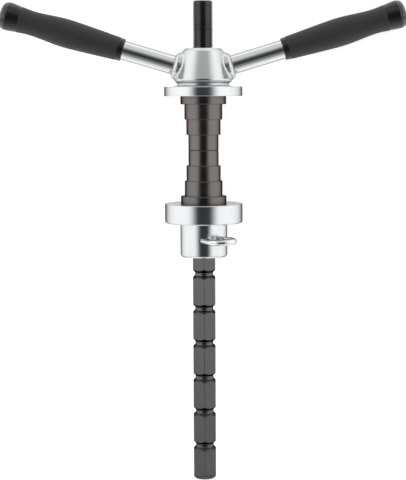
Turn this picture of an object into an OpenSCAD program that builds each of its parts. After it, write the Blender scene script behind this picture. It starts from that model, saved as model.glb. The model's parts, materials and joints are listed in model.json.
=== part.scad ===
// Hand press with a threaded hexagonal spindle, a two-handled hub nut,
// a swivelling press plate on a ball thrust bearing, two stepped guides
// and a stop plate that a U-shaped clip locks into turned grooves.
// The press lies on the rims of its two plates and on one grip end,
// with its spindle along +Y. Millimetres, +Z up, origin on the ground
// under the middle of the overall box.

/* [Spindle] */
// Across-flats size of the hexagonal bar
hex_af = 19; // [18.4:0.1:19]
// Outside diameter of the drive thread
thread_d = 17; // [16.4:0.1:17]
// Length of the spindle above the lower face of the press plate
spindle_up = 79.5; // [76:0.1:84]
// Length of the spindle below the lower face of the press plate
spindle_down = 329; // [320:0.2:360]
// Length of thread hidden below the lower face of the press plate
thread_hidden = 6; // [4:0.5:20]
// Neck diameter of the locking grooves
groove_d = 15.4; // [14.6:0.1:15.5]
// Flat width at the bottom of each groove
groove_w = 2.2; // [1.8:0.1:3]
// Distance from one groove to the next
groove_pitch = 29.75; // [28:0.25:30]
// Number of locking grooves
groove_n = 7; // [5:1:7]

/* [Handles] */
// Upward tilt of each handle from square to the spindle
handle_tilt = 16.6; // [14:0.1:18]
// Height at which the two handle axes meet, over the press plate's middle
handle_t = 16.3; // [16:0.1:18]
// Diameter of the round handle bars
bar_d = 16; // [15:0.1:16.4]
// Reach of the grip's end from the spindle axis, along the handle
grip_end = 177.4; // [176:0.1:184]
// Radius of the rounded bead that joins each bar to the hub
bead_r = 4.6; // [3:0.1:5]

/* [Plates] */
// Diameter of the press plate and of the stop plate
plate_d = 66; // [62:0.5:70]
// Thickness of the press plate at its rim
press_plate_h = 7.9; // [7.5:0.1:9]
// Thickness of the stop plate at its rim
stop_plate_h = 16.3; // [14:0.1:18]
// Diameter of the collar under the stop plate
collar_d = 40; // [39:0.5:44]
// Length of the collar under the stop plate
collar_h = 29; // [26:0.1:30]

/* [Guides] */
// Diameters of the guide from its flange to its tip
guide_d = [38.7, 32, 29, 25.5];
// Visible height of the guide's flange
flange_h = 6.8; // [5:0.1:8]
// Height of each step of the guide
step_h = 12.9; // [12:0.1:13]
// Bore of the guides over the hexagonal bar's corners
guide_bore = 22.5; // [22.4:0.1:22.6]

/* [Clip] */
// Wire diameter of the locking clip
wire_d = 5; // [4:0.1:5]
// Distance of each clip leg from the spindle axis
leg_offset = 10.5; // [10.5:0.1:10.8]
// Direction in which the clip pulls out, to the right of the front
clip_az = 29.4; // [20:0.1:40]
// Distance of the bend's centre from the spindle axis
bend_at = 29.7; // [28:0.1:32]

/* [Hidden] */
$fn = 96;

// heights along the spindle, from a point inside the press plate
plate_lo = -2.4;
plate_hi = plate_lo + press_plate_h;
spindle_top = plate_lo + spindle_up;
spindle_end = plate_lo - spindle_down;
thread_end = plate_lo - thread_hidden;
guide_top = plate_lo;
guide_mid = guide_top - flange_h - 3 * step_h;
guide_low = guide_mid - flange_h - 3 * step_h + 0.0;
stop_hi = guide_low + 0.4;
stop_lo = stop_hi - stop_plate_h;
collar_lo = stop_lo - collar_h;
groove_first = -123.4;
corner_r = hex_af / 2 / cos(30);
hex_gap = 0.2;
seat = 0.8;            // depth of the seats that centre the guide flanges
hub_lo = 6.9;
hub_top = 37.6;
race_lo = 6.2;         // seat of the lower race in the press plate
race_t = 2;
ball_r = 2.45;
ball_pitch_r = 15;
ball_n = 12;
ball_t = race_lo + race_t + 2.25;
race_hi = ball_t + 2.25;
bearing_hi = race_hi + race_t;
spigot_r = 11;
bar_s0 = 18.5;         // inner end of each bar
bar_s1 = 160;          // outer end of each bar, inside the grip
bead_s = 21.6;
bead_ring_r = 7.3;
roll = 7.3;            // roll about the spindle that brings one grip end down
y_off = (spindle_down - spindle_up) / 2 - plate_lo;
steel = [0.78, 0.79, 0.8];
zinc = [0.8, 0.81, 0.8];
black_steel = [0.24, 0.24, 0.25];
dark_guide = [0.2, 0.18, 0.17];
grip_black = [0.1, 0.1, 0.11];

// from the upright tool to its lying rest
module lie() {
    translate([0, y_off, plate_d / 2])
        rotate([0, roll, 0])
            rotate([-90, 0, 0]) children();
}

// from a handle's own axis (along +Z) to its place, right or left
module on_handle(side) {
    translate([0, 0, handle_t])
        rotate([0, side * (90 - handle_tilt), 0]) children();
}

function groove_at(i) = groove_first - i * groove_pitch;

// outline of a revolved bar with the grooves cut in it, from its lower end up
function spindle_outline(r, neck, w) = concat(
    [[0, spindle_end], [corner_r - 2.6, spindle_end], [r, spindle_end + 3]],
    [for (i = [groove_n - 1:-1:0]) for (p = [
        [r, groove_at(i) - w / 2 - (r - neck)],
        [neck, groove_at(i) - w / 2],
        [neck, groove_at(i) + w / 2],
        [r, groove_at(i) + w / 2 + (r - neck)]]) p],
    [[r, thread_end - 1.6], [thread_d / 2, thread_end], [0, thread_end]]);

module spindle() {
    color(black_steel) lie() {
        intersection() {
            rotate([0, 0, 30])
                translate([0, 0, spindle_end - 1])
                    cylinder(r = corner_r, h = thread_end - spindle_end + 2, $fn = 6);
            rotate_extrude()
                polygon(spindle_outline(corner_r + 0.4, groove_d / 2, groove_w));
        }
        rotate_extrude()
            polygon([[0, thread_end - 1], [thread_d / 2, thread_end - 1],
                     [thread_d / 2, spindle_top - 1.2],
                     [thread_d / 2 - 1.2, spindle_top], [0, spindle_top]]);
    }
}

module hub() {
    color(zinc) lie() difference() {
        union() {
            rotate_extrude()
                polygon([[0, hub_lo], [22, hub_lo], [22, 8.15], [24.1, 10], [24.35, 10.8],
                         [24.35, 11.8], [17.3, 35.15], [14.75, hub_top], [0, hub_top]]);
            for (side = [-1, 1]) on_handle(side)
                translate([0, 0, bead_s]) rotate_extrude()
                    translate([bead_ring_r, 0]) circle(r = bead_r, $fn = 48);
            // spigot that carries the press plate
            translate([0, 0, -1.4]) cylinder(r = spigot_r, h = bearing_hi + 1.4);
        }
        // drive bore
        translate([0, 0, -5]) cylinder(r = thread_d / 2 + 0.05, h = 60);
        translate([0, 0, hub_top - 0.8])
            cylinder(r1 = thread_d / 2 + 0.05, r2 = thread_d / 2 + 0.9, h = 0.85);
        // bearing recess around the spigot
        rotate_extrude()
            polygon([[spigot_r, hub_lo - 1], [19.05, hub_lo - 1],
                     [19.05, bearing_hi], [spigot_r, bearing_hi]]);
        // groove for the retaining ring
        rotate_extrude()
            polygon([[10.15, -0.05], [spigot_r + 1, -0.05],
                     [spigot_r + 1, 1.25], [10.15, 1.25]]);
        // sockets for the bars
        for (side = [-1, 1]) on_handle(side)
            translate([0, 0, bar_s0]) cylinder(r = bar_d / 2 + 0.02, h = 20);
    }
}

module handle_bar(side) {
    color(steel) lie() on_handle(side)
        translate([0, 0, bar_s0]) cylinder(r = bar_d / 2, h = bar_s1 - bar_s0);
}
module handle_bar_left() { handle_bar(-1); }
module handle_bar_right() { handle_bar(1); }

module grip(side) {
    color(grip_black) lie() on_handle(side)
        rotate_extrude()
            polygon([[bar_d / 2 + 0.02, 70], [9.1, 70], [9.45, 70.5], [9.7, 75],
                     [10.05, 81], [10.5, 88], [10.95, 95], [11.35, 102],
                     [11.7, 109], [11.95, 115], [12, 119], [11.9, 124],
                     [11.6, 130], [11.1, 136], [10.6, 142], [10.3, 147],
                     [10.25, 151], [10.45, 155], [10.9, 159], [11.5, 163],
                     [11.95, 167], [12.1, 170], [12.05, 172], [11.6, 174],
                     [10.6, 175.6], [9, 176.7], [6.5, grip_end - 0.15],
                     [0, grip_end], [0, bar_s1], [bar_d / 2 + 0.02, bar_s1]]);
}
module grip_left() { grip(-1); }
module grip_right() { grip(1); }

module press_plate() {
    r = plate_d / 2;
    color(zinc) lie() rotate_extrude()
        polygon([[spigot_r + 0.08, 1.5], [14.8, 1.5], [14.8, plate_lo + seat],
                 [guide_d[0] / 2 + 0.4, plate_lo + seat],
                 [guide_d[0] / 2 + 0.4, plate_lo],
                 [r - 0.35, plate_lo], [r, plate_lo + 0.35],
                 [r, plate_hi - 0.35], [r - 0.35, plate_hi], [24.8, plate_hi],
                 [23.4, 6.6], [19.2, 6.6], [19.2, race_lo], [spigot_r + 0.08, race_lo]]);
}

module race_plate() {
    color(steel) lie() rotate_extrude() difference() {
        polygon([[11.4, race_lo], [18.6, race_lo], [18.6, race_lo + race_t],
                 [11.4, race_lo + race_t]]);
        translate([ball_pitch_r, ball_t]) circle(r = ball_r + 0.1, $fn = 48);
    }
}

module race_hub() {
    color(steel) lie() rotate_extrude() difference() {
        polygon([[spigot_r + 0.05, race_hi], [19, race_hi], [19, bearing_hi],
                 [spigot_r + 0.05, bearing_hi]]);
        translate([ball_pitch_r, ball_t]) circle(r = ball_r + 0.1, $fn = 48);
    }
}

module bearing_cage() {
    color([0.7, 0.6, 0.35]) lie() difference() {
        rotate_extrude()
            polygon([[12, ball_t - 0.8], [18.2, ball_t - 0.8],
                     [18.2, ball_t + 0.8], [12, ball_t + 0.8]]);
        for (i = [0:ball_n - 1]) rotate([0, 0, i * 360 / ball_n])
            translate([ball_pitch_r, 0, ball_t - 2])
                cylinder(r = ball_r + 0.12, h = 4, $fn = 48);
    }
}

module bearing_balls() {
    color(steel) lie() for (i = [0:ball_n - 1]) rotate([0, 0, i * 360 / ball_n])
        translate([ball_pitch_r, 0, ball_t]) sphere(r = ball_r, $fn = 48);
}

module retaining_ring() {
    color(black_steel) lie() difference() {
        rotate_extrude()
            polygon([[10.2, 0], [13.6, 0], [13.6, 1.2], [10.2, 1.2]]);
        translate([-2.5, -20, -1]) cube([5, 20, 4]);
    }
}

// one stepped guide, flange up, from its flange's visible face at 0
// bury is how far the flange reaches into the seat of its plate
module guide(bury) {
    e = 0.4;
    r0 = guide_d[0] / 2;
    r1 = guide_d[1] / 2;
    r2 = guide_d[2] / 2;
    r3 = guide_d[3] / 2;
    b = guide_bore / 2;
    rotate_extrude() polygon([
        [b, bury], [r0 - e, bury], [r0, bury - e],
        [r0, -flange_h + e], [r0 - e, -flange_h], [r1, -flange_h],
        [r1, -flange_h - step_h + e], [r1 - e, -flange_h - step_h],
        [r2, -flange_h - step_h],
        [r2, -flange_h - 2 * step_h + e], [r2 - e, -flange_h - 2 * step_h],
        [r3, -flange_h - 2 * step_h],
        [r3, -flange_h - 3 * step_h + e], [r3 - e, -flange_h - 3 * step_h],
        [b, -flange_h - 3 * step_h]]);
}

module guide_upper() {
    color(dark_guide) lie() translate([0, 0, guide_top]) guide(seat - 0.3);
}

module guide_lower() {
    color(dark_guide) lie() translate([0, 0, guide_low]) mirror([0, 0, 1]) guide(seat);
}

module stop_plate() {
    r = plate_d / 2;
    c = collar_d / 2;
    u = [sin(clip_az), -cos(clip_az), 0];
    v = [cos(clip_az), sin(clip_az), 0];
    color(zinc) lie() difference() {
        rotate_extrude()
            polygon([[0, guide_low - seat], [guide_d[0] / 2 + 0.2, guide_low - seat],
                     [guide_d[0] / 2 + 0.2, stop_hi], [r - 0.5, stop_hi],
                     [r, stop_hi - 0.5], [r, stop_lo + 0.8], [r - 0.8, stop_lo],
                     [c, stop_lo], [c, collar_lo + 1.4], [c - 1.4, collar_lo],
                     [0, collar_lo]]);
        // hexagonal bore
        rotate([0, 0, 30]) translate([0, 0, collar_lo - 5])
            cylinder(r = (hex_af / 2 + hex_gap) / cos(30), h = 80, $fn = 6);
        // blind holes for the clip's two legs
        for (k = [-1, 1])
            translate(k * leg_offset * v + [0, 0, groove_first])
                rotate([0, 0, clip_az]) rotate([90, 0, 0])
                    translate([0, 0, -14.8])
                        cylinder(r = wire_d / 2 + 0.3, h = 45);
    }
}

module lock_clip() {
    color(steel) lie() translate([0, 0, groove_first]) rotate([0, 0, clip_az]) {
        for (k = [-1, 1]) translate([k * leg_offset, 0, 0]) {
            rotate([90, 0, 0]) translate([0, 0, -11.6])
                cylinder(r = wire_d / 2, h = bend_at + 11.6);
            translate([0, 11.6, 0]) sphere(r = wire_d / 2);
        }
        translate([0, -bend_at, 0]) mirror([0, 1, 0])
            rotate_extrude(angle = 180)
                translate([leg_offset, 0]) circle(r = wire_d / 2, $fn = 48);
    }
}

spindle();
hub();
handle_bar_left();
handle_bar_right();
grip_left();
grip_right();
press_plate();
race_hub();
race_plate();
bearing_cage();
bearing_balls();
retaining_ring();
guide_upper();
guide_lower();
stop_plate();
lock_clip();
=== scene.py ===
import json
import math

import bmesh
import bpy
import numpy as np
from mathutils import Matrix, Vector

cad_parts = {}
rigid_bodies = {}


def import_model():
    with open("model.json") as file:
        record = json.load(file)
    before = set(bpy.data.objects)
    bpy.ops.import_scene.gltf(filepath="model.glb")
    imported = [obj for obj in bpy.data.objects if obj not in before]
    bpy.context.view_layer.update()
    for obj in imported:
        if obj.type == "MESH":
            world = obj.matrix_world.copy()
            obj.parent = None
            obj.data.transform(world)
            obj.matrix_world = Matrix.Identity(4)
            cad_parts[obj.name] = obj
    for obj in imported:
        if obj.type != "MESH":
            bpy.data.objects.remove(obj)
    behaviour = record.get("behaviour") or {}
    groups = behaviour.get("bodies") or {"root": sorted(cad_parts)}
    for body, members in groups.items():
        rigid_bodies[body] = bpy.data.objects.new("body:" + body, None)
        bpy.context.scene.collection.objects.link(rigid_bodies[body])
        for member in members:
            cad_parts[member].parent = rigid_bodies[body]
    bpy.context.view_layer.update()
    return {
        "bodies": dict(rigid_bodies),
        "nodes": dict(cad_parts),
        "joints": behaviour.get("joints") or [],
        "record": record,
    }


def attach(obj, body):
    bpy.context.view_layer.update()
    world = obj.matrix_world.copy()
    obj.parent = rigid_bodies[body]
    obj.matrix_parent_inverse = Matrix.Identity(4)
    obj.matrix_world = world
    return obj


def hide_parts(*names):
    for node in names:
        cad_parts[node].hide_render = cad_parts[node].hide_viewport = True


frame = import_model()

MM = 0.001
ROLL = math.radians(7.3)
TILT = math.radians(16.6)

# The tool's own frame: origin on the spindle axis inside the press plate, +Z along the
# spindle towards the threaded end, -Y towards the viewer, +X to the viewer's right.
LIE = (Matrix.Translation((0, 0.12715, 0.033))
       @ Matrix.Rotation(ROLL, 4, "Y")
       @ Matrix.Rotation(math.radians(-90), 4, "X"))


def handle_frame(side):
    """A handle's own frame: +Z outwards along the bar."""
    return (LIE @ Matrix.Translation((0, 0, 16.3 * MM))
            @ Matrix.Rotation(side * (math.pi / 2 - TILT), 4, "Y"))


# ---------------------------------------------------------------- camera
FRONT = (LIE.to_3x3() @ Vector((0, -1, 0))).normalized()
RIGHT = (LIE.to_3x3() @ Vector((1, 0, 0))).normalized()
UP = (LIE.to_3x3() @ Vector((0, 0, 1))).normalized()


def add_camera():
    pitch, roll = math.radians(6.0), math.radians(0.28)
    target = LIE @ Vector((0, 0, 0))
    place = target + FRONT * 1.184 - RIGHT * 0.0008
    look = (-FRONT * math.cos(pitch) - UP * math.sin(pitch)).normalized()
    up = (UP * math.cos(pitch) - FRONT * math.sin(pitch)).normalized()
    right = look.cross(up).normalized()
    # a slight roll, as the photograph has it
    up2 = up * math.cos(roll) + right * math.sin(roll)
    right2 = right * math.cos(roll) - up * math.sin(roll)
    m = Matrix((right2, up2, -look)).transposed().to_4x4()
    m.translation = place
    data = bpy.data.cameras.new("camera")
    data.sensor_width = 36
    data.lens = 1396 / 480 * 36
    data.clip_start, data.clip_end = 0.05, 50
    cam = bpy.data.objects.new("camera", data)
    cam.matrix_world = m
    bpy.context.scene.collection.objects.link(cam)
    bpy.context.scene.camera = cam


add_camera()
bpy.context.scene.view_settings.view_transform = "Standard"


# ---------------------------------------------------------------- mesh helpers
def soften(points, n=4):
    """Closed outline of (r, z) or (r, z, setback): each corner with a setback becomes a small round."""
    pts = [p if len(p) == 3 else (p[0], p[1], 0.0) for p in points]
    out = []
    count = len(pts)
    for i, (r, z, back) in enumerate(pts):
        if back <= 0:
            out.append((r, z))
            continue
        p = np.array((r, z), float)
        a = np.array(pts[i - 1][:2], float) - p
        b = np.array(pts[(i + 1) % count][:2], float) - p
        la, lb = np.linalg.norm(a), np.linalg.norm(b)
        t = min(back, 0.48 * la, 0.48 * lb)
        pa, pb = p + a / la * t, p + b / lb * t
        for k in range(n + 1):
            u = k / n
            q = (1 - u) ** 2 * pa + 2 * u * (1 - u) * p + u * u * pb
            out.append((float(q[0]), float(q[1])))
    return out


def revolve_mesh(name, outline, segs=160):
    """A closed (r, z) outline in mm turned about Z."""
    verts, rings = [], []
    for r, z in outline:
        if r < 1e-6:
            rings.append([len(verts)] * segs)
            verts.append((0, 0, z * MM))
        else:
            rings.append(list(range(len(verts), len(verts) + segs)))
            verts += [(r * MM * math.cos(2 * math.pi * k / segs),
                       r * MM * math.sin(2 * math.pi * k / segs), z * MM)
                      for k in range(segs)]
    faces = []
    for i in range(len(rings)):
        a, b = rings[i], rings[(i + 1) % len(rings)]
        if a[0] == a[1] and b[0] == b[1]:
            continue
        for k in range(segs):
            f = [a[k], a[(k + 1) % segs], b[(k + 1) % segs], b[k]]
            f = [v for j, v in enumerate(f) if v not in f[:j]]
            if len(f) > 2:
                faces.append(f)
    me = bpy.data.meshes.new(name)
    me.from_pydata(verts, [], faces)
    clean(me)
    return me


def clean(me, dist=1e-7):
    bm = bmesh.new()
    bm.from_mesh(me)
    bmesh.ops.remove_doubles(bm, verts=bm.verts, dist=dist)
    bmesh.ops.dissolve_degenerate(bm, edges=bm.edges, dist=dist)
    bmesh.ops.recalc_face_normals(bm, faces=bm.faces)
    bm.to_mesh(me)
    bm.free()
    me.update()


def add(name, me, matrix):
    o = bpy.data.objects.new(name, me)
    bpy.context.scene.collection.objects.link(o)
    o.matrix_world = matrix
    return o


def cut(target, tool_mesh, op, matrix=None):
    """Boolean with a mesh given in the target's own frame."""
    tool = bpy.data.objects.new("tool", tool_mesh)
    bpy.context.scene.collection.objects.link(tool)
    tool.matrix_world = target.matrix_world @ (matrix or Matrix.Identity(4))
    mod = target.modifiers.new("cut", "BOOLEAN")
    mod.operation, mod.solver, mod.object = op, "EXACT", tool
    apply_all(target)
    bpy.data.objects.remove(tool)


def apply_all(o):
    bpy.context.view_layer.update()
    deps = bpy.context.evaluated_depsgraph_get()
    me = bpy.data.meshes.new_from_object(o.evaluated_get(deps))
    old = o.data
    o.modifiers.clear()
    o.data = me
    me.name = old.name


def finish_shape(o, angle=32.0, weighted=True):
    me = o.data
    clean(me)
    me.shade_smooth()
    me.set_sharp_from_angle(angle=math.radians(angle))
    if weighted:
        mod = o.modifiers.new("weighted", "WEIGHTED_NORMAL")
        mod.keep_sharp = True
        mod.weight = 60
        apply_all(o)


def grid_mesh(name, table, cap_low=True, cap_high=True):
    """table[row][col] = (x, y, z) in metres, closed around the columns."""
    rows, cols = len(table), len(table[0])
    verts = [p for row in table for p in row]
    faces = [(i * cols + k, i * cols + (k + 1) % cols,
              (i + 1) * cols + (k + 1) % cols, (i + 1) * cols + k)
             for i in range(rows - 1) for k in range(cols)]
    if cap_low:
        faces.append(tuple(range(cols))[::-1])
    if cap_high:
        faces.append(tuple(range((rows - 1) * cols, rows * cols)))
    me = bpy.data.meshes.new(name)
    me.from_pydata(verts, [], faces)
    return me


# ---------------------------------------------------------------- spindle
def hex_radius(a, af=19.0, rho=0.55):
    """Radius of the hexagon with rounded corners, a radians from a corner."""
    a = abs(a)
    c = (af / 2 - rho) / math.cos(math.pi / 6)
    tangent = math.atan2(rho * 0.5, c + rho * math.cos(math.pi / 6))
    if a < tangent:
        return c * math.cos(a) + math.sqrt(rho * rho - (c * math.sin(a)) ** 2)
    return af / 2 / math.cos(math.pi / 6 - a)


def hex_bar():
    neck, w, n = 7.7, 2.2, 7
    local = [-30, -24, -17, -10, -5, -2.6, -1.38, -0.9, -0.45, 0,
             0.45, 0.9, 1.38, 2.6, 5, 10, 17, 24]
    cols = [(k * 60 + 30, a) for k in range(6) for a in local]
    table = None
    for turn, a in cols:
        R = hex_radius(math.radians(a))
        th = math.radians(turn + a)
        col = [(-331.4, 0.001), (-331.4, 8.2), (-331.3, 8.4)]
        zc = -331.4 + (R - 8.37)
        col += [(zc - 0.12, R - 0.12), (zc + 0.02, R - 0.03), (zc + 0.2, R)]
        for i in range(n - 1, -1, -1):
            g = -123.4 - 29.75 * i
            lo, hi = g - w / 2 - (R - neck), g + w / 2 + (R - neck)
            col += [(lo - 0.3, R), (lo - 0.04, R - 0.03), (lo + 0.18, R - 0.18),
                    (g - w / 2 - 0.45, neck + 0.45), (g - w / 2 - 0.12, neck + 0.19),
                    (g - w / 2 + 0.12, neck + 0.05), (g - w / 2 + 0.45, neck),
                    (g + w / 2 - 0.45, neck), (g + w / 2 - 0.12, neck + 0.05),
                    (g + w / 2 + 0.12, neck + 0.19), (g + w / 2 + 0.45, neck + 0.45),
                    (hi - 0.18, R - 0.18), (hi + 0.04, R - 0.03), (hi + 0.3, R)]
        zt = -10 + 1.6 * (11.37 - R) / 2.87
        col += [(zt - 0.2, R), (zt, R - 0.05), (-8.4, 8.45), (-8.4, 0.001)]
        pts = [(r * MM * math.cos(th), r * MM * math.sin(th), z * MM) for z, r in col]
        table = [[p] for p in pts] if table is None else [row + [p] for row, p in zip(table, pts)]
    return grid_mesh("hex_bar", table)


def thread_mesh(d=17.0, pitch=2.0, low=-9.4, top=77.1, steps=72):
    """Right-hand 60 degree thread with a chamfered top end."""
    root = d / 2 - 1.3
    prof = [(0.0, root), (0.14, root), (0.2, root + 0.05), (0.42, root + 0.63), (0.64, root + 1.2),
            (0.69, d / 2 - 0.04), (0.76, d / 2), (1.38, d / 2), (1.45, d / 2 - 0.04),
            (1.5, root + 1.2), (1.72, root + 0.63), (1.94, root + 0.05)]
    zs = [p[0] for p in prof] + [pitch]
    rs = [p[1] for p in prof] + [prof[0][1]]

    def at(z, th):
        return float(np.interp((z - pitch * th / (2 * math.pi)) % pitch, zs, rs))

    def cap(z):
        return d / 2 - max(0.0, z - (top - 1.2))

    turns = int((top - low) / pitch) + 3
    verts, rows = [], turns * len(prof)
    table = []
    for k in range(steps + 1):
        th = 2 * math.pi * k / steps
        col = []
        for j in range(rows):
            z = low - 2 * pitch + pitch * th / (2 * math.pi) + (j // len(prof)) * pitch + prof[j % len(prof)][0]
            r = prof[j % len(prof)][1]
            if z >= top:
                z, r = top, at(top, th)
            if z <= low:
                z, r = low, at(low, th)
            r = min(r, cap(z))
            col.append((r * MM * math.cos(th), r * MM * math.sin(th), z * MM))
        table.append(col)
    for col in table:
        verts += col
    faces = []
    for k in range(steps):
        for j in range(rows - 1):
            faces.append((k * rows + j, (k + 1) * rows + j, (k + 1) * rows + j + 1, k * rows + j + 1))
    me = bpy.data.meshes.new("thread")
    me.from_pydata(verts, [], faces)
    bm = bmesh.new()
    bm.from_mesh(me)
    bmesh.ops.remove_doubles(bm, verts=bm.verts, dist=2e-6)
    bmesh.ops.dissolve_degenerate(bm, edges=bm.edges, dist=1e-6)
    edges = [e for e in bm.edges if e.is_boundary]
    bmesh.ops.holes_fill(bm, edges=edges, sides=0)
    bmesh.ops.recalc_face_normals(bm, faces=bm.faces)
    bm.to_mesh(me)
    bm.free()
    return me


def build_spindle():
    hexa = hex_bar()
    clean(hexa, 2e-6)
    o = add("spindle_bar", hexa, LIE)
    cut(o, thread_mesh(), "UNION")
    finish_shape(o, 28)
    return o


# ---------------------------------------------------------------- hub
def torus_mesh(R, r, z0, name="bead", seed=3):
    """A rounded bead about Z with a slightly uneven surface, as a run of weld has."""
    n, m = 128, 40
    table = []
    for k in range(n):
        a = 2 * math.pi * k / n
        wob = (0.10 * math.sin(9 * a + seed) + 0.07 * math.sin(17 * a + 2 * seed)
               + 0.05 * math.sin(29 * a + seed * 0.7))
        row = []
        for j in range(m):
            b = 2 * math.pi * j / m
            rr = r + wob * (0.5 + 0.5 * math.cos(b - 0.4))
            row.append(((R + rr * math.cos(b)) * MM * math.cos(a),
                        (R + rr * math.cos(b)) * MM * math.sin(a),
                        (z0 + rr * math.sin(b)) * MM))
        table.append(row)
    verts = [p for row in table for p in row]
    faces = [(i * m + j, ((i + 1) % n) * m + j, ((i + 1) % n) * m + (j + 1) % m, i * m + (j + 1) % m)
             for i in range(n) for j in range(m)]
    me = bpy.data.meshes.new(name)
    me.from_pydata(verts, [], faces)
    clean(me)
    return me


def blend_beads(me, reach=2.6, rounds=40):
    """Smooths the seam between each bead and the cone into a soft fillet."""
    co = np.empty(len(me.vertices) * 3)
    me.vertices.foreach_get("co", co)
    co = co.reshape(-1, 3)
    r, z = np.hypot(co[:, 0], co[:, 1]) / MM, co[:, 2] / MM
    slope = 7.05 / 23.35
    cone = np.abs(r - (24.35 - slope * (z - 11.8))) / math.hypot(1, slope)
    bead = np.full(len(co), 99.0)
    for side in (-1, 1):
        inv = (LIE.inverted() @ handle_frame(side)).inverted()
        rot, off = np.array(inv.to_3x3()), np.array(inv.translation)
        p = (co @ rot.T + off) / MM
        ring = np.hypot(np.hypot(p[:, 0], p[:, 1]) - 7.3, p[:, 2] - 21.6)
        bead = np.minimum(bead, np.where(p[:, 2] > 0, np.abs(ring - 4.6), 99))
    w = np.clip(1 - np.maximum(cone, bead) / reach, 0, 1)
    w *= np.clip((z - 11.9) / 1.5, 0, 1) * np.clip((35.0 - z) / 1.0, 0, 1)
    e = np.empty(len(me.edges) * 2, dtype=np.int64)
    me.edges.foreach_get("vertices", e)
    e = e.reshape(-1, 2)
    count = np.bincount(e.ravel(), minlength=len(co)).astype(float)
    for _ in range(rounds):
        total = np.zeros_like(co)
        for k in range(3):
            total[:, k] = (np.bincount(e[:, 0], co[e[:, 1], k], len(co))
                           + np.bincount(e[:, 1], co[e[:, 0], k], len(co)))
        co += (0.5 * w)[:, None] * (total / np.maximum(count, 1)[:, None] - co)
    me.vertices.foreach_set("co", co.ravel())
    me.update()


def build_hub():
    outline = soften([
        (8.55, -1.4), (11, -1.4, 0.2), (11, -0.05), (10.15, -0.05), (10.15, 1.25), (11, 1.25),
        (11, 14.7), (19.05, 14.7), (19.05, 6.9), (22, 6.9, 0.15), (22, 8.15, 0.1), (24.1, 10, 0.2),
        (24.35, 10.8, 0.2), (24.35, 11.8, 0.2)]
        + [(24.35 - 7.05 * k / 34, 11.8 + 23.35 * k / 34) for k in range(1, 34)]
        + [(17.3, 35.15, 0.25), (14.75, 37.6, 0.25),
        (9.4, 37.6, 0.2), (8.55, 36.8)])
    o = add("hub_body", revolve_mesh("hub", outline, 192), LIE)
    for side in (-1, 1):
        local = LIE.inverted() @ handle_frame(side)
        cut(o, torus_mesh(7.3, 4.6, 21.6, seed=3 + side), "UNION", local)
    blend_beads(o.data)
    for side in (-1, 1):
        local = LIE.inverted() @ handle_frame(side)
        cyl = revolve_mesh("socket", [(0, 18.5), (8.02, 18.5), (8.02, 40), (0, 40)], 96)
        cut(o, cyl, "DIFFERENCE", local)
    finish_shape(o, 34)
    return o


# ---------------------------------------------------------------- plates
def build_press_plate():
    outline = soften([
        (11.08, 1.5), (14.8, 1.5), (14.8, -1.6), (19.75, -1.6), (19.75, -2.4, 0.15),
        (32.65, -2.4, 0.12), (33, -2.05, 0.12), (33, 5.15, 0.12), (32.65, 5.5, 0.12),
        (24.8, 5.5, 0.3), (23.4, 6.6, 0.2), (19.2, 6.6, 0.1), (19.2, 6.2), (11.08, 6.2, 0.2)])
    o = add("press_plate_turned", revolve_mesh("press_plate", outline, 256), LIE)
    finish_shape(o)
    return o


def hex_prism(af, z0, z1):
    R = af / 2 / math.cos(math.pi / 6)
    table = [[(R * MM * math.cos(math.radians(30 + 60 * k)),
               R * MM * math.sin(math.radians(30 + 60 * k)), z * MM) for k in range(6)]
             for z in (z0, z1)]
    me = grid_mesh("hex", table)
    clean(me)
    return me


AZ = math.radians(29.4)


def clip_frame():
    """+Z pulls the clip out, +X runs across its two legs."""
    u = Vector((math.sin(AZ), -math.cos(AZ), 0))
    v = Vector((math.cos(AZ), math.sin(AZ), 0))
    m = Matrix((v, u.cross(v), u)).transposed().to_4x4()
    m.translation = Vector((0, 0, -123.4 * MM))
    return m


def build_stop_plate():
    outline = soften([
        (5, -94.2), (19.55, -94.2), (19.55, -93.0, 0.15), (32.5, -93.0, 0.2), (33, -93.5, 0.2),
        (33, -108.5, 0.3), (32.2, -109.3, 0.3), (20, -109.3), (20, -136.9, 0.5),
        (18.6, -138.3, 0.5), (5, -138.3)])
    o = add("stop_plate_turned", revolve_mesh("stop_plate", outline, 256), LIE)
    cut(o, hex_prism(19.4, -150, -80), "DIFFERENCE")
    for k in (-1, 1):
        m = clip_frame() @ Matrix.Translation((k * 10.5 * MM, 0, 0))
        cyl = revolve_mesh("hole", [(0, -14.8), (2.8, -14.8), (2.8, 16.2), (2.8, 30), (0, 30)], 64)
        cut(o, cyl, "DIFFERENCE", m)
    finish_shape(o)
    return o


# ---------------------------------------------------------------- guides
def build_guide(name, flip):
    b, e = 11.25, 0.4
    r = [19.35, 16.0, 14.5, 12.75]
    bury = 0.8 if flip else 0.5
    f, s = 6.8, 12.9
    outline = soften([
        (b, bury), (r[0] - e, bury), (r[0], bury - e), (r[0], -f + e, 0.2), (r[0] - e, -f, 0.2),
        (r[1], -f, 0.25), (r[1], -f - s + e, 0.2), (r[1] - e, -f - s, 0.2),
        (r[2], -f - s, 0.25), (r[2], -f - 2 * s + e, 0.2), (r[2] - e, -f - 2 * s, 0.2),
        (r[3], -f - 2 * s, 0.25), (r[3], -f - 3 * s + e, 0.2), (r[3] - e, -f - 3 * s, 0.2),
        (b, -f - 3 * s)])
    if flip:
        outline = [(x, -93.4 - z) for x, z in outline]
    else:
        outline = [(x, -2.4 + z) for x, z in outline]
    o = add(name, revolve_mesh(name, outline, 192), LIE)
    finish_shape(o)
    return o


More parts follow.
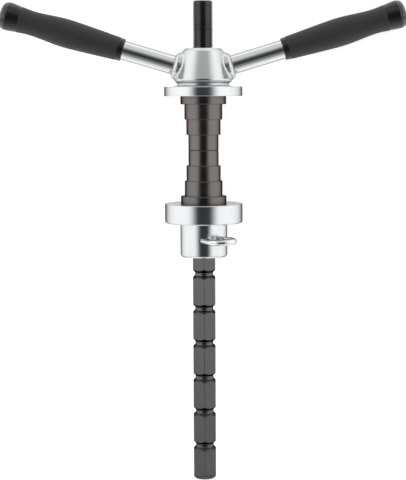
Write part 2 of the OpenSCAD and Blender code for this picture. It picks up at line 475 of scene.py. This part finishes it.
# ---------------------------------------------------------------- handles
def catmull(points, n=6):
    p = [np.array(q, float) for q in points]
    p = [2 * p[0] - p[1]] + p + [2 * p[-1] - p[-2]]
    out = []
    for i in range(1, len(p) - 2):
        for k in range(n):
            t = k / n
            out.append(tuple(0.5 * (2 * p[i] + (p[i + 1] - p[i - 1]) * t
                                    + (2 * p[i - 1] - 5 * p[i] + 4 * p[i + 1] - p[i + 2]) * t * t
                                    + (3 * p[i] - p[i - 1] - 3 * p[i + 1] + p[i + 2]) * t ** 3)))
    out.append(tuple(p[-2]))
    return out


def build_bar(name, side):
    outline = soften([(0, 18.5), (7.99, 18.5), (8, 160, 0.6), (0, 160)])
    o = add(name, revolve_mesh(name, outline, 128), handle_frame(side))
    finish_shape(o)
    return o


def build_grip(name, side):
    inner = [(8.02, 70.0), (9.0, 70.0), (9.3, 70.1), (9.48, 70.5)]
    band_in = [(9.55, 71.5), (9.68, 73.2), (9.72, 74.4)]
    body = catmull([(9.85, 75.0), (10.05, 79), (10.5, 87), (10.95, 95), (11.35, 102.5), (11.7, 109.5),
                    (11.95, 116), (11.97, 121), (11.75, 127), (11.3, 133), (10.8, 139),
                    (10.4, 144.5), (10.25, 149), (10.35, 153.5), (10.7, 157.2), (11.0, 160.1)], 5)
    band_out = catmull([(11.0, 160.5), (11.25, 162.6), (11.6, 165.4), (11.9, 168.2), (12.05, 170.9)], 4)
    ridge = [(12.02, 171.3), (11.9, 171.6)]
    dome = catmull([(11.75, 171.9), (11.35, 173.6), (10.45, 175.1), (8.8, 176.3), (6, 177.05),
                    (3, 177.35), (0, 177.4)], 5)
    outline = inner + band_in + [(9.72, 74.7)] + body + [(10.92, 160.3)] + band_out + ridge + dome
    outline[-1] = (0, 177.4)
    outline += [(0, 160.2), (8.02, 160.2)]
    o = add(name, revolve_mesh(name, outline, 160), handle_frame(side))
    finish_shape(o, 40)
    return o


# ---------------------------------------------------------------- clip
def build_clip():
    """Round wire bent to a U, its loop sprung slightly out of its own plane."""
    path = []
    for s in np.linspace(-11.6, 29.7, 30):
        path.append((-10.5, s))
    for a in np.linspace(0, math.pi, 41)[1:-1]:
        path.append((-10.5 * math.cos(a), 29.7 + 10.5 * math.sin(a)))
    for s in np.linspace(29.7, -11.6, 30):
        path.append((10.5, s))

    def lift(x, s):
        k = min(1.0, max(0.0, (s - 14) / 14))
        k = k * k * (3 - 2 * k)
        return k * 0.03 * (x + 10.5)

    pts = [Vector((x, lift(x, s), s)) * MM for x, s in path]
    # rounded tips
    n = 32
    r = 2.5 * MM
    table = []
    dirs = []
    for i in range(len(pts)):
        a, b = pts[max(0, i - 1)], pts[min(len(pts) - 1, i + 1)]
        dirs.append((b - a).normalized())
    ref = Vector((0, 1, 0))
    seq = []
    for j in range(8):
        t = (j + 0.35) / 8 * math.pi / 2
        seq.append((pts[0] - dirs[0] * r * math.cos(t), dirs[0], r * math.sin(t)))
    seq += [(p, d, r) for p, d in zip(pts, dirs)]
    for j in range(7, -1, -1):
        t = (j + 0.35) / 8 * math.pi / 2
        seq.append((pts[-1] + dirs[-1] * r * math.cos(t), dirs[-1], r * math.sin(t)))
    for p, d, rad in seq:
        side = d.cross(ref).normalized()
        up = side.cross(d).normalized()
        table.append([tuple(p + side * rad * math.cos(2 * math.pi * k / n)
                            + up * rad * math.sin(2 * math.pi * k / n)) for k in range(n)])
    me = grid_mesh("clip", table)
    clean(me)
    o = add("clip_wire", me, LIE @ clip_frame())
    finish_shape(o, 50, weighted=False)
    return o


# ---------------------------------------------------------------- materials
class Mat:
    """A node material with short calls for its parts."""

    def __init__(self, name, frame=LIE):
        """frame: the piece's own frame, which the pattern follows."""
        self.m = bpy.data.materials.new(name)
        self.m.use_nodes = True
        self.t = self.m.node_tree
        self.t.nodes.clear()
        self.out = self.t.nodes.new("ShaderNodeOutputMaterial")
        self.b = self.t.nodes.new("ShaderNodeBsdfPrincipled")
        self.t.links.new(self.b.outputs[0], self.out.inputs[0])
        coord = self.t.nodes.new("ShaderNodeTexCoord")
        own = self.t.nodes.new("ShaderNodeMapping")
        own.vector_type = "TEXTURE"
        own.inputs["Location"].default_value = frame.to_translation()
        own.inputs["Rotation"].default_value = frame.to_euler("XYZ")
        self.t.links.new(coord.outputs["Object"], own.inputs["Vector"])
        self.local = own.outputs[0]

    def link(self, a, b):
        self.t.links.new(a, b)

    def put(self, socket, value):
        if isinstance(value, (int, float)):
            socket.default_value = value
        elif isinstance(value, (tuple, list)):
            socket.default_value = tuple(value) + ((1,) if len(value) == 3 and len(socket.default_value) == 4 else ())
        else:
            self.link(value, socket)

    def scaled(self, scale):
        n = self.t.nodes.new("ShaderNodeMapping")
        n.inputs["Scale"].default_value = scale
        self.link(self.local, n.inputs["Vector"])
        return n.outputs[0]

    def noise(self, scale, stretch=(1, 1, 1), detail=4.0, rough=0.55, out="Fac", dist=0.0):
        n = self.t.nodes.new("ShaderNodeTexNoise")
        n.inputs["Scale"].default_value = scale
        n.inputs["Detail"].default_value = detail
        n.inputs["Roughness"].default_value = rough
        n.inputs["Distortion"].default_value = dist
        self.link(self.scaled(stretch), n.inputs["Vector"])
        return n.outputs[out]

    def ramp(self, fac, stops):
        n = self.t.nodes.new("ShaderNodeValToRGB")
        el = n.color_ramp.elements
        while len(el) < len(stops):
            el.new(0.5)
        for e, (pos, col) in zip(el, stops):
            e.position = pos
            e.color = (col, col, col, 1) if isinstance(col, (int, float)) else tuple(col) + (1,)
        self.link(fac, n.inputs[0])
        return n.outputs[0]

    def remap(self, value, a, b, c, d):
        n = self.t.nodes.new("ShaderNodeMapRange")
        self.link(value, n.inputs[0])
        for i, v in zip((1, 2, 3, 4), (a, b, c, d)):
            n.inputs[i].default_value = v
        return n.outputs[0]

    def math(self, op, a, b=None, clamp=False):
        n = self.t.nodes.new("ShaderNodeMath")
        n.operation = op
        n.use_clamp = clamp
        self.put(n.inputs[0], a)
        if b is not None:
            self.put(n.inputs[1], b)
        return n.outputs[0]

    def mix(self, fac, a, b, mode="MIX"):
        n = self.t.nodes.new("ShaderNodeMix")
        n.data_type = "RGBA"
        n.blend_type = mode
        self.put(n.inputs[0], fac)
        self.put(n.inputs[6], a)
        self.put(n.inputs[7], b)
        return n.outputs[2]

    def axis(self, which):
        n = self.t.nodes.new("ShaderNodeSeparateXYZ")
        self.link(self.local, n.inputs[0])
        return n.outputs[which]

    def radius(self):
        """Distance from the frame's axis."""
        flat = self.t.nodes.new("ShaderNodeVectorMath")
        flat.operation = "MULTIPLY"
        flat.inputs[1].default_value = (1, 1, 0)
        self.link(self.local, flat.inputs[0])
        n = self.t.nodes.new("ShaderNodeVectorMath")
        n.operation = "LENGTH"
        self.link(flat.outputs[0], n.inputs[0])
        return n.outputs["Value"]

    def bump(self, height, strength, distance, under=None):
        n = self.t.nodes.new("ShaderNodeBump")
        n.inputs["Strength"].default_value = strength
        n.inputs["Distance"].default_value = distance
        self.link(height, n.inputs["Height"])
        if under is not None:
            self.link(under, n.inputs["Normal"])
        return n.outputs[0]

    def edge(self, lo=0.52, hi=0.62):
        """Worn convex edges."""
        g = self.t.nodes.new("ShaderNodeNewGeometry")
        return self.remap(g.outputs["Pointiness"], lo, hi, 0, 1)

    def set(self, **kw):
        for k, v in kw.items():
            self.put(self.b.inputs[k.replace("_", " ")], v)
        return self


def plating(name, tint, rough_lo, rough_hi, edge_tint, ring=0.25, speck=0.2, faces=False):
    """Bright zinc on turned steel: fine turning rings, faint speckle and cloudy roughness."""
    m = Mat(name)
    cloud = m.noise(60, (1, 1, 1), 5, 0.6)
    fine = m.noise(1000, (1, 1, 1), 3, 0.6)
    rings = m.noise(55, (0.25, 0.25, 60), 3, 0.7)
    col = m.mix(m.remap(cloud, 0.35, 0.7, 0, 1), [c * 0.95 for c in tint], tint)
    col = m.mix(m.remap(rings, 0.3, 0.7, 0.0, 0.2), col, [c * 0.85 for c in tint])
    m.set(Base_Color=col, Metallic=1.0, Specular_Tint=(edge_tint,) * 3)
    if faces:
        # the faced upper sides get a brighter edge tint (0.5) than the turned rims (edge_tint): painted light on the
        # upper sides and painted shade on the rims at grazing angles; the roughness is the same on both
        z = m.axis(2)
        top = m.math("ADD", m.remap(z, 0.00535, 0.0054, 0, 1),
                     m.math("MULTIPLY", m.remap(z, -0.09315, -0.0931, 0, 1), m.remap(z, -0.09, -0.0899, 1, 0)), True)
        m.set(Specular_Tint=m.mix(top, (edge_tint,) * 3, (0.5,) * 3))
    r = m.remap(cloud, 0.3, 0.7, rough_lo, rough_hi)
    r = m.math("ADD", r, m.remap(fine, 0.3, 0.7, -0.02, 0.03))
    m.set(Roughness=r)
    n1 = m.bump(rings, ring, 0.00004)
    n2 = m.bump(m.noise(680, (1, 1, 1), 3, 0.6), speck, 0.00009, n1)
    m.set(Normal=n2)
    return m.m


def bar_plating(side):
    m = Mat("bar_zinc_" + ("right" if side > 0 else "left"), handle_frame(side))
    cloud = m.noise(45, (1, 1, 0.4), 5, 0.6)
    fine = m.noise(700, (1, 1, 0.15), 4, 0.6)
    col = m.mix(m.remap(cloud, 0.35, 0.7, 0, 1), (0.72, 0.735, 0.73), (0.77, 0.78, 0.765))
    m.set(Base_Color=col, Metallic=1.0, Specular_Tint=(0.1, 0.105, 0.1),
          Roughness=m.math("ADD", m.remap(cloud, 0.3, 0.7, 0.14, 0.2), m.remap(fine, 0.3, 0.7, -0.015, 0.03)))
    m.set(Normal=m.bump(fine, 0.15, 0.00003, m.bump(cloud, 0.12, 0.0006)))
    return m.m


def dark_steel(name, base, worn, rough, edge_tint=0.25, grain=0.1, rings=False, turned=False):
    m = Mat(name)
    cloud = m.noise(70, (1, 1, 1), 5, 0.6)
    fine = m.noise(1100, (1, 1, 1), 3, 0.65)
    col = m.mix(m.remap(cloud, 0.3, 0.72, 0, 1), [c * 0.93 for c in base], [c * 1.07 for c in base])
    col = m.mix(m.remap(fine, 0.3, 0.7, 0, 1), col, [c * (1 + 3 * grain) for c in base])
    col = m.mix(m.math("MULTIPLY", m.edge(0.54, 0.66), m.remap(fine, 0.35, 0.6, 0.2, 0.8)), col, worn)
    rough = m.math("ADD", m.remap(cloud, 0.3, 0.7, rough - 0.04, rough + 0.05), m.remap(fine, 0.3, 0.7, -0.03, 0.03))
    if turned:
        # the thread and the grooves' necks and flanks are glossier than the drawn flats; the grooves' flanks are also
        # darkened in colour, painted shade in the groove recesses
        r = m.radius()
        away = m.math("PINGPONG", m.math("ADD", m.axis(2), 0.1234), 0.014875)
        flank = m.math("ABSOLUTE", m.math("SUBTRACT", r, m.math("ADD", m.math("MAXIMUM", m.math("SUBTRACT", away, 0.0011), 0.0), 0.0077)))
        neck = m.math("MULTIPLY", m.remap(flank, 0.0002, 0.00028, 1, 0), m.remap(away, 0.0046, 0.0047, 1, 0))
        low = m.remap(r, 0.0094, 0.00945, 1, 0)
        rough = m.math("MULTIPLY", rough, m.remap(m.math("MAXIMUM", neck, low), 0, 1, 1, 0.5))
        # painted shade: the groove flanks darkened to 0.45 of the base colour
        col = m.mix(m.math("MULTIPLY", neck, m.remap(away, 0.0011, 0.0016, 0, 1)), col, [c * 0.45 for c in base])
    m.set(Base_Color=col, Metallic=1.0, Specular_Tint=(edge_tint,) * 3, Roughness=rough)
    n = m.bump(fine, 0.25, 0.00004)
    if rings:
        n = m.bump(m.noise(60, (0.3, 0.3, 50), 3, 0.7), 0.3, 0.00005, n)
    m.set(Normal=n)
    return m.m


def grip_plastic(side):
    m = Mat("grip_plastic_" + ("right" if side > 0 else "left"), handle_frame(side))
    z = m.axis(2)
    # smooth bands at both ends, fine leather-like grain between them
    inner = m.remap(z, 0.0746, 0.0751, 1, 0)
    outer = m.remap(z, 0.1601, 0.1606, 0, 1)
    band = m.math("ADD", inner, outer, True)
    cloud = m.noise(40, (1, 1, 1), 5, 0.6)
    grain = m.noise(1500, (1, 1, 1), 3, 0.6)
    vor = m.t.nodes.new("ShaderNodeTexVoronoi")
    vor.inputs["Scale"].default_value = 1600
    m.link(m.local, vor.inputs["Vector"])
    col = m.mix(m.remap(cloud, 0.3, 0.7, 0, 1), (0.018, 0.018, 0.019), (0.025, 0.0245, 0.0245))
    col = m.mix(band, col, (0.009, 0.0085, 0.009))
    # the moulded end cap is glossier than the sleeve
    cap = m.remap(z, 0.1714, 0.1718, 0, 1)
    m.set(Base_Color=col, Metallic=0.0, Specular_IOR_Level=m.remap(cap, 0, 1, 0.5, 1.0))
    rough = m.remap(cloud, 0.3, 0.7, 0.56, 0.62)
    rough = m.math("SUBTRACT", rough, m.math("MULTIPLY", band, 0.42))
    m.set(Roughness=rough)
    amount = m.math("SUBTRACT", 1.0, m.math("MULTIPLY", band, 0.93))
    h = m.math("MULTIPLY", m.math("ADD", grain, m.math("MULTIPLY", vor.outputs["Distance"], 0.8)), amount)
    m.set(Normal=m.bump(h, 0.35, 0.00012))
    return m.m


def bearing_metal(name, base):
    m = Mat(name)
    cloud = m.noise(90, (1, 1, 1), 4, 0.6)
    fine = m.noise(1200, (1, 1, 1), 3, 0.6)
    m.set(Base_Color=m.mix(m.remap(cloud, 0.3, 0.7, 0, 1), [c * 0.88 for c in base], base), Metallic=1.0,
          Roughness=m.remap(fine, 0.3, 0.7, 0.16, 0.28), Normal=m.bump(fine, 0.15, 0.00003))
    return m.m


# ---------------------------------------------------------------- build
spindle = build_spindle()
hub = build_hub()
press_plate = build_press_plate()
stop_plate = build_stop_plate()
guide_u = build_guide("guide_upper_turned", False)
guide_l = build_guide("guide_lower_turned", True)
bars = {s: build_bar("bar_" + n, s) for s, n in ((-1, "left"), (1, "right"))}
grips = {s: build_grip("grip_cover_" + n, s) for s, n in ((-1, "left"), (1, "right"))}
clip = build_clip()

MATS = {
    # turned=True also paints shade into the spindle's groove flanks
    "spindle": dark_steel("black_steel", (0.106, 0.106, 0.11), (0.17, 0.17, 0.17), 0.28, turned=True),
    "hub": plating("hub_zinc", (0.67, 0.69, 0.685), 0.2, 0.26, 0.35, ring=0.15, speck=0.15),
    # the plate's near-black edge tint (0.02) darkens its rims at grazing angles: painted shade
    "plate": plating("plate_zinc", (0.72, 0.735, 0.745), 0.14, 0.2, 0.02, speck=0.5, faces=True),
    "bar_left": bar_plating(-1),
    "bar_right": bar_plating(1),
    "guide": dark_steel("guide_steel", (0.15, 0.139, 0.134), (0.2, 0.19, 0.18), 0.23, edge_tint=0.05, grain=0.05, rings=True),
    "grip_left": grip_plastic(-1),
    "grip_right": grip_plastic(1),
    "clip": plating("clip_zinc", (0.78, 0.8, 0.8), 0.14, 0.2, 0.25, ring=0.05, speck=0.2),
    "bearing": bearing_metal("bearing_steel", (0.66, 0.67, 0.68)),
    "cage": bearing_metal("cage_metal", (0.68, 0.55, 0.28)),
}

for piece, mat, slot, body, node in (
        (spindle, "spindle", "black_steel", "spindle", "spindle"),
        (hub, "hub", "hub_plating", "handle", "hub"),
        (press_plate, "plate", "plate_plating", "press_plate", "press_plate"),
        (stop_plate, "plate", "plate_plating", "stop", "stop_plate"),
        (guide_u, "guide", "guide_dark", "stop", "guide_upper"),
        (guide_l, "guide", "guide_dark", "stop", "guide_lower"),
        (bars[-1], "bar_left", "bar_plating", "handle", "handle_bar_left"),
        (bars[1], "bar_right", "bar_plating", "handle", "handle_bar_right"),
        (grips[-1], "grip_left", "grip_black", "handle", "grip_left"),
        (grips[1], "grip_right", "grip_black", "handle", "grip_right"),
        (clip, "clip", "clip_plating", "clip", "lock_clip")):
    # the mesh takes the resting place itself, so its box is the true one
    piece.data.transform(piece.matrix_world)
    piece.matrix_world = Matrix.Identity(4)
    piece.data.update()
    piece.data.materials.clear()
    piece.data.materials.append(MATS[mat])
    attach(piece, body)
    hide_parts(node)

for node, mat in (("race_hub", "bearing"), ("race_plate", "bearing"), ("bearing_balls", "bearing"),
                  ("bearing_cage", "cage"), ("retaining_ring", "spindle")):
    o = frame["nodes"][node]
    if o.material_slots:
        for s in o.material_slots:
            s.material = MATS[mat]
    else:
        o.data.materials.append(MATS[mat])


# ---------------------------------------------------------------- floor and light
def floor():
    me = bpy.data.meshes.new("floor")
    s = 6.0
    me.from_pydata([(-s, -s, 0), (s, -s, 0), (s, s, 0), (-s, s, 0)], [], [(0, 1, 2, 3)])
    o = bpy.data.objects.new("floor", me)
    bpy.context.scene.collection.objects.link(o)
    m = Mat("floor_paint")
    n = m.noise(6, (1, 1, 1), 3, 0.5)
    m.set(Base_Color=m.mix(m.remap(n, 0.3, 0.7, 0, 1), (0.9, 0.9, 0.9), (0.915, 0.915, 0.915)),
          Roughness=0.9, Specular_IOR_Level=0.1, Emission_Color=(1.0, 1.0, 1.0), Emission_Strength=0.55)
    me.materials.append(m.m)


def world():
    """Soft white studio: white to both sides, pale grey above the thread end, and the dark
    unlit side of the room in front of and below the viewer."""
    w = bpy.data.worlds.new("studio")
    bpy.context.scene.world = w
    w.use_nodes = True
    t = w.node_tree
    t.nodes.clear()
    out = t.nodes.new("ShaderNodeOutputWorld")
    back = t.nodes.new("ShaderNodeBackground")
    t.links.new(back.outputs[0], out.inputs[0])
    coord = t.nodes.new("ShaderNodeTexCoord")

    def math_node(op, a, b=None, c=None, clamp=False):
        n = t.nodes.new("ShaderNodeMath")
        n.operation = op
        n.use_clamp = clamp
        for s, v in zip(n.inputs, (a, b, c)):
            if v is None:
                continue
            if isinstance(v, (int, float)):
                s.default_value = v
            else:
                t.links.new(v, s)
        return n.outputs[0]

    def dot(vec):
        n = t.nodes.new("ShaderNodeVectorMath")
        n.operation = "DOT_PRODUCT"
        t.links.new(coord.outputs["Generated"], n.inputs[0])
        n.inputs[1].default_value = vec
        return n.outputs["Value"]

    def step(value, a, b, lo=0.0, hi=1.0):
        n = t.nodes.new("ShaderNodeMapRange")
        n.interpolation_type = "SMOOTHSTEP"
        t.links.new(value, n.inputs[0])
        for i, v in zip((1, 2, 3, 4), (a, b, lo, hi)):
            n.inputs[i].default_value = v
        return n.outputs[0]

    x, up = math_node("ABSOLUTE", dot(RIGHT)), dot(UP)
    ramp = t.nodes.new("ShaderNodeValToRGB")
    stops = ((-1.0, 0.97), (-0.93, 0.95), (-0.84, 0.7), (-0.74, 0.4), (-0.6, 0.26), (-0.42, 0.18), (-0.24, 0.055),
             (-0.1, 0.03), (0.1, 0.05), (0.2, 0.085), (0.4, 0.18), (0.5, 0.42), (0.6, 0.64), (0.8, 0.78), (1.0, 0.82))
    el = ramp.color_ramp.elements
    while len(el) < len(stops):
        el.new(0.5)
    for e, (at, v) in zip(el, stops):
        e.position = (at + 1) / 2
        # the dark of the room is a little blue, its ceiling a little warm
        blue = 1 + 0.25 * max(0.0, min(1.0, (0.3 - v) / 0.3))
        e.color = (v, v * (1.0 if v > 0.4 else 1.05), v * (0.97 if at > 0.45 else blue), 1)
    t.links.new(math_node("MULTIPLY_ADD", up, 0.5, 0.5), ramp.inputs[0])
    # the white walls fall off a little under the viewer's level
    fall = math_node("MULTIPLY", step(up, -0.24, -0.12, 1, 0), step(up, -0.6, -0.45, 0, 1))
    white = math_node("SUBTRACT", WHITE, math_node("MULTIPLY", fall, WHITE * 0.54))

    def mix_node(fac, a, b):
        n = t.nodes.new("ShaderNodeMix")
        n.data_type = "RGBA"
        n.clamp_factor = True
        t.links.new(fac, n.inputs[0])
        for s, v in ((n.inputs[6], a), (n.inputs[7], b)):
            if isinstance(v, (int, float)):
                s.default_value = (v, v, v, 1)
            else:
                t.links.new(v, s)
        return n.outputs[2]

    wide = math_node("ADD", x, math_node("MULTIPLY", step(up, -0.12, -0.07, 1, 0), 0.06))
    level = mix_node(step(wide, 0.30, 0.79, 0, 1), ramp.outputs[0], white)
    path = t.nodes.new("ShaderNodeLightPath")

    level = mix_node(path.outputs["Is Diffuse Ray"], level, FILL)
    level = mix_node(path.outputs["Is Camera Ray"], level, 0.97)
    t.links.new(level, back.inputs["Color"])
    back.inputs["Strength"].default_value = 1.0


WHITE, FILL = 1.35, 0.75
floor()
world()
